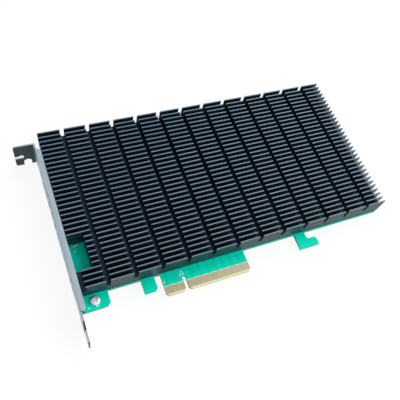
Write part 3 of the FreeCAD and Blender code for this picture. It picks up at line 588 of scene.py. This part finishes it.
def build_drive_traces(work, *heights):
    """Eight traces from the switch to each drive's socket."""
    start = switch_high.x + 0.8 * MM
    for number in range(1, 5):
        socket_low, socket_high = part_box(f"drive_socket_{number}")
        middle = (socket_low.y + socket_high.y) / 2
        leave = switch_low.y + (switch_high.y - switch_low.y) * (number - 0.5) / 4
        stop = socket_low.x - 2.6 * MM
        turn = start + (stop - start) * 0.2
        slope_end = min(turn + abs(middle - leave) * 0.55 + 0.4 * MM, stop - 0.3 * MM)
        for lane in range(8):
            offset = (lane - 3.5) * LANE_PITCH + pair_shift(lane)
            path = [(start, leave + offset), (turn, leave + offset),
                    (slope_end, middle + offset), (stop, middle + offset)]
            draw_path(work, path, *heights)


def build_traces(material):
    """Traces under the mask: up from the contacts, and from the switch to the drives."""
    work = bmesh.new()
    front = (COMPONENT_FACE, COMPONENT_FACE + COPPER)
    back = (SOLDER_FACE - COPPER, SOLDER_FACE)
    build_contact_traces(work, front, back)
    build_drive_traces(work, *back)
    piece("edge_traces", finish_mesh(work, "edge_traces"), material)


# Screw heads --------------------------------------------------------------------------------------

def lathe(name, profile, count=48):
    """A closed solid turned about Z from (radius, height) points, top first, ends on the axis."""
    work = bmesh.new()
    loops = []
    for radius, height in profile[1:-1]:
        loops.append([work.verts.new((x, y, height)) for x, y in disc((0, 0), radius, count)])
    top = work.verts.new((0, 0, profile[0][1]))
    bottom = work.verts.new((0, 0, profile[-1][1]))
    for index in range(count):
        following = (index + 1) % count
        work.faces.new((top, loops[0][index], loops[0][following]))
        for upper, lower in zip(loops, loops[1:]):
            work.faces.new((upper[index], lower[index], lower[following], upper[following]))
        work.faces.new((bottom, loops[-1][following], loops[-1][index]))
    return bpy.data.objects.new(name, finish_mesh(work, name))


def cross_tool(name, reach, half, top, depth):
    """A tapered cross that cuts a screw's recess."""
    outline = [(reach, half), (half, half), (half, reach), (-half, reach), (-half, half),
               (-reach, half), (-reach, -half), (-half, -half), (-half, -reach), (half, -reach),
               (half, -half), (reach, -half)]
    work = bmesh.new()
    upper = [work.verts.new((x, y, top)) for x, y in outline]
    lower = [work.verts.new((x * 0.5, y * 0.7, top - depth)) for x, y in outline]
    for index in range(12):
        following = (index + 1) % 12
        work.faces.new((upper[index], lower[index], lower[following], upper[following]))
    work.faces.new(list(reversed(upper)))
    work.faces.new(lower)
    bmesh.ops.recalc_face_normals(work, faces=work.faces)
    return bpy.data.objects.new(name, finish_mesh(work, name))


def build_bracket_screws(material):
    """Pan-head screws with a domed head, a rolled rim and a tapered cross recess."""
    low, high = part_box("bracket_screws")
    radius = (high.x - low.x) / 2
    height = high.z
    shank = 1.5 * MM
    crown = [(0.50, 1.0), (0.74, 0.97), (0.86, 0.90), (0.94, 0.78), (0.98, 0.62), (1.0, 0.46)]
    profile = [(0, height)] + [(radius * out, height * up) for out, up in crown] + [
        (radius, height * 0.30), (radius, 0.12 * MM), (radius * 0.96, 0.0), (shank, 0.0),
        (shank, low.z + 0.3 * MM), (shank * 0.8, low.z), (0, low.z)]
    head = lathe("screw_head", profile)
    tool = cross_tool("screw_recess", radius * 0.60, radius * 0.16, height * 1.1, height * 0.80)
    for thing in (head, tool):
        bpy.context.collection.objects.link(thing)
    cut = head.modifiers.new("recess", "BOOLEAN")
    cut.object = tool
    cut.operation = "DIFFERENCE"
    cut.solver = "EXACT"
    bpy.context.view_layer.update()
    solved = head.evaluated_get(bpy.context.evaluated_depsgraph_get())
    shaped = bpy.data.meshes.new_from_object(solved)
    for thing in (head, tool):
        bpy.data.objects.remove(thing)
    shaped.materials.clear()
    shaped.materials.append(material)
    middle = (low.x + high.x) / 2
    screws = []
    for name, y, turn in (("lower", low.y + radius, 20), ("upper", high.y - radius, 65)):
        screw = bpy.data.objects.new(f"bracket_screw_{name}", shaped)
        screw.location = (middle, y, 0)
        screw.rotation_euler.z = math.radians(turn)
        bpy.context.collection.objects.link(screw)
        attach(screw, "root")
        screws.append(screw)
    for screw in screws:
        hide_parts("bracket_screws")


# Stage --------------------------------------------------------------------------------------------

def seen_directly(tree):
    """1 for rays from the camera and in reflections or glass, 0 for the light that falls on things."""
    light_path = tree.nodes.new("ShaderNodeLightPath")
    result = light_path.outputs["Is Camera Ray"]
    for name in ("Is Glossy Ray", "Is Transmission Ray"):
        either = tree.nodes.new("ShaderNodeMath")
        either.operation = "MAXIMUM"
        tree.links.new(result, either.inputs[0])
        tree.links.new(light_path.outputs[name], either.inputs[1])
        result = either.outputs["Value"]
    return result


def floor_material():
    """White to the camera and in reflections, with the card's shadow kept around the card."""
    material = bpy.data.materials.new("white_floor")
    material.use_nodes = True
    tree = material.node_tree
    surface = tree.nodes["Principled BSDF"]
    surface.inputs["Base Color"].default_value = (0.95, 0.95, 0.95, 1)
    surface.inputs["Roughness"].default_value = 0.9
    surface.inputs["Specular IOR Level"].default_value = 0.0
    from_card = tree.nodes.new("ShaderNodeVectorMath")
    from_card.operation = "LENGTH"
    tree.links.new(tree.nodes.new("ShaderNodeTexCoord").outputs["Object"], from_card.inputs[0])
    whiteness = tree.nodes.new("ShaderNodeMapRange")
    for name, value in (("From Min", FLOOR_SHADOW_REACH), ("From Max", FLOOR_SHADOW_REACH * 3),
                        ("To Min", FLOOR_WHITE_SHARE), ("To Max", 1.0)):
        whiteness.inputs[name].default_value = value
    tree.links.new(from_card.outputs["Value"], whiteness.inputs["Value"])
    share = tree.nodes.new("ShaderNodeMath")
    share.operation = "MULTIPLY"
    tree.links.new(seen_directly(tree), share.inputs[0])
    tree.links.new(whiteness.outputs["Result"], share.inputs[1])
    white = tree.nodes.new("ShaderNodeEmission")
    white.inputs["Color"].default_value = (1, 1, 1, 1)
    white.inputs["Strength"].default_value = 1.0
    blend = tree.nodes.new("ShaderNodeMixShader")
    tree.links.new(share.outputs["Value"], blend.inputs[0])
    tree.links.new(surface.outputs["BSDF"], blend.inputs[1])
    tree.links.new(white.outputs["Emission"], blend.inputs[2])
    tree.links.new(blend.outputs["Shader"], tree.nodes["Material Output"].inputs["Surface"])
    return material


def build_world():
    """An even sky that lights the card, and looks white where it is seen."""
    world = bpy.data.worlds.new("studio")
    bpy.context.scene.world = world
    world.use_nodes = True
    tree = world.node_tree
    background = tree.nodes["Background"]
    background.inputs["Color"].default_value = (*WORLD_COLOR, 1)
    strength = tree.nodes.new("ShaderNodeMapRange")
    strength.inputs["To Min"].default_value = WORLD_STRENGTH
    strength.inputs["To Max"].default_value = 1.0
    tree.links.new(seen_directly(tree), strength.inputs["Value"])
    tree.links.new(strength.outputs["Result"], background.inputs["Strength"])


def add_lamp(name, lamp):
    """A square soft lamp that looks at the card from its direction."""
    data = bpy.data.lights.new(name, "AREA")
    data.shape = "SQUARE"
    data.size = lamp["width"]
    data.energy = lamp["power"]
    data.color = LAMP_COLOR
    direction = Vector(lamp["direction"]).normalized()
    thing = bpy.data.objects.new(name, data)
    thing.location = Vector(LAMP_TARGET) + direction * lamp["distance"]
    thing.rotation_euler = direction.to_track_quat("Z", "Y").to_euler()
    bpy.context.collection.objects.link(thing)


def build_stage():
    """White floor, even sky light, two soft lamps and the camera."""
    work = bmesh.new()
    bmesh.ops.create_grid(work, x_segments=1, y_segments=1, size=FLOOR_HALF)
    mesh = finish_mesh(work, "floor")
    mesh.materials.append(floor_material())
    floor = bpy.data.objects.new("floor", mesh)
    floor.location.z = cad_bounds[0][2] - FLOOR_GAP
    bpy.context.collection.objects.link(floor)

    build_world()
    add_lamp("back_lamp", BACK_LAMP)
    add_lamp("front_lamp", FRONT_LAMP)

    data = bpy.data.cameras.new("camera")
    data.lens = CAMERA_LENS
    data.sensor_width = CAMERA_SENSOR
    data.shift_x, data.shift_y = CAMERA_SHIFT
    data.clip_start = 0.01
    camera = bpy.data.objects.new("camera", data)
    camera.location = CAMERA_PLACE
    camera.rotation_euler = [math.radians(angle) for angle in CAMERA_TURN]
    bpy.context.collection.objects.link(camera)
    bpy.context.scene.camera = camera
    bpy.context.scene.view_settings.view_transform = "Standard"


# Dress the CAD nodes, then add the pieces that only show -------------------------------------------

nickel = brushed("bright_nickel", (0.80, 0.80, 0.82), 0.36)
lid_metal = brushed("lid_nickel", (0.60, 0.60, 0.61), 0.3, stretch=(0.05, 1.0, 1.0))
epoxy = speckled("chip_epoxy", (0.028, 0.028, 0.031), 0.5)
silicone = speckled("thermal_pad", (0.42, 0.48, 0.55), 0.7, scale=900.0)
plastic = speckled("connector_plastic", (0.02, 0.02, 0.022), 0.42, scale=1800.0)
ferrite = speckled("ferrite", (0.10, 0.10, 0.105), 0.55, scale=1500.0, bump=0.03 * MM)
rear_ceramic = capacitor("rear_ceramic", "rear_capacitors", length=1.0 * MM, pitch=3.0 * MM)
coupling_ceramic = capacitor("coupling_ceramic", "coupling_capacitors", length=1.0 * MM,
                             pitch=3.0 * MM)
bulk_tantalum = capacitor("bulk_tantalum", "bulk_capacitors", length=7.3 * MM, pitch=20.0 * MM)
dress(black_anodised(), "heatsink")
dress(circuit_board(), "circuit_board")
dress(gold(), "contacts_component_side", "contacts_solder_side")
dress(plated_steel(), "bracket")
dress(nickel, "bracket_screws", "heatsink_screws")
dress(brushed("standoff_brass", (0.62, 0.48, 0.24), 0.3), "drive_standoffs")
dress(plastic, "drive_latches", *numbered("drive_socket", 4))
dress(drive_mask(), *numbered("drive_board", 4))
dress(epoxy, "clock_buffer", "settings_memory")
dress(epoxy, *numbered("drive_chips", 4), *numbered("power_stage", 3))
dress(silicone, "switch_pad", *numbered("drive_pad", 4))
dress(speckled("package_mask", (0.03, 0.16, 0.09), 0.4), "switch_package")
dress(lid_metal, "switch_lid")
dress(ferrite, *numbered("power_inductor", 3))
dress(brushed("crystal_can", (0.6, 0.59, 0.57), 0.3), "crystal")
dress(rear_ceramic, "rear_capacitors")
dress(coupling_ceramic, "coupling_capacitors")
dress(bulk_tantalum, "bulk_capacitors")
undressed = sorted(set(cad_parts) - dressed)
if undressed:
    raise RuntimeError(f"nodes without a finish: {undressed}")

ink = speckled("white_ink", (0.85, 0.9, 0.88), 0.6, scale=3000.0, bump=0.004 * MM, specular=0.2)
masked_copper = speckled("masked_copper", (0.001, 0.46, 0.32), 0.34, scale=1500.0,
                         bump=0.004 * MM, specular=0.12)
build_marks(ink)
build_back_print(ink)
build_traces(masked_copper)
build_vias(brushed("tinned_pads", (0.62, 0.60, 0.54), 0.35))
build_bracket_screws(nickel)
build_stage()
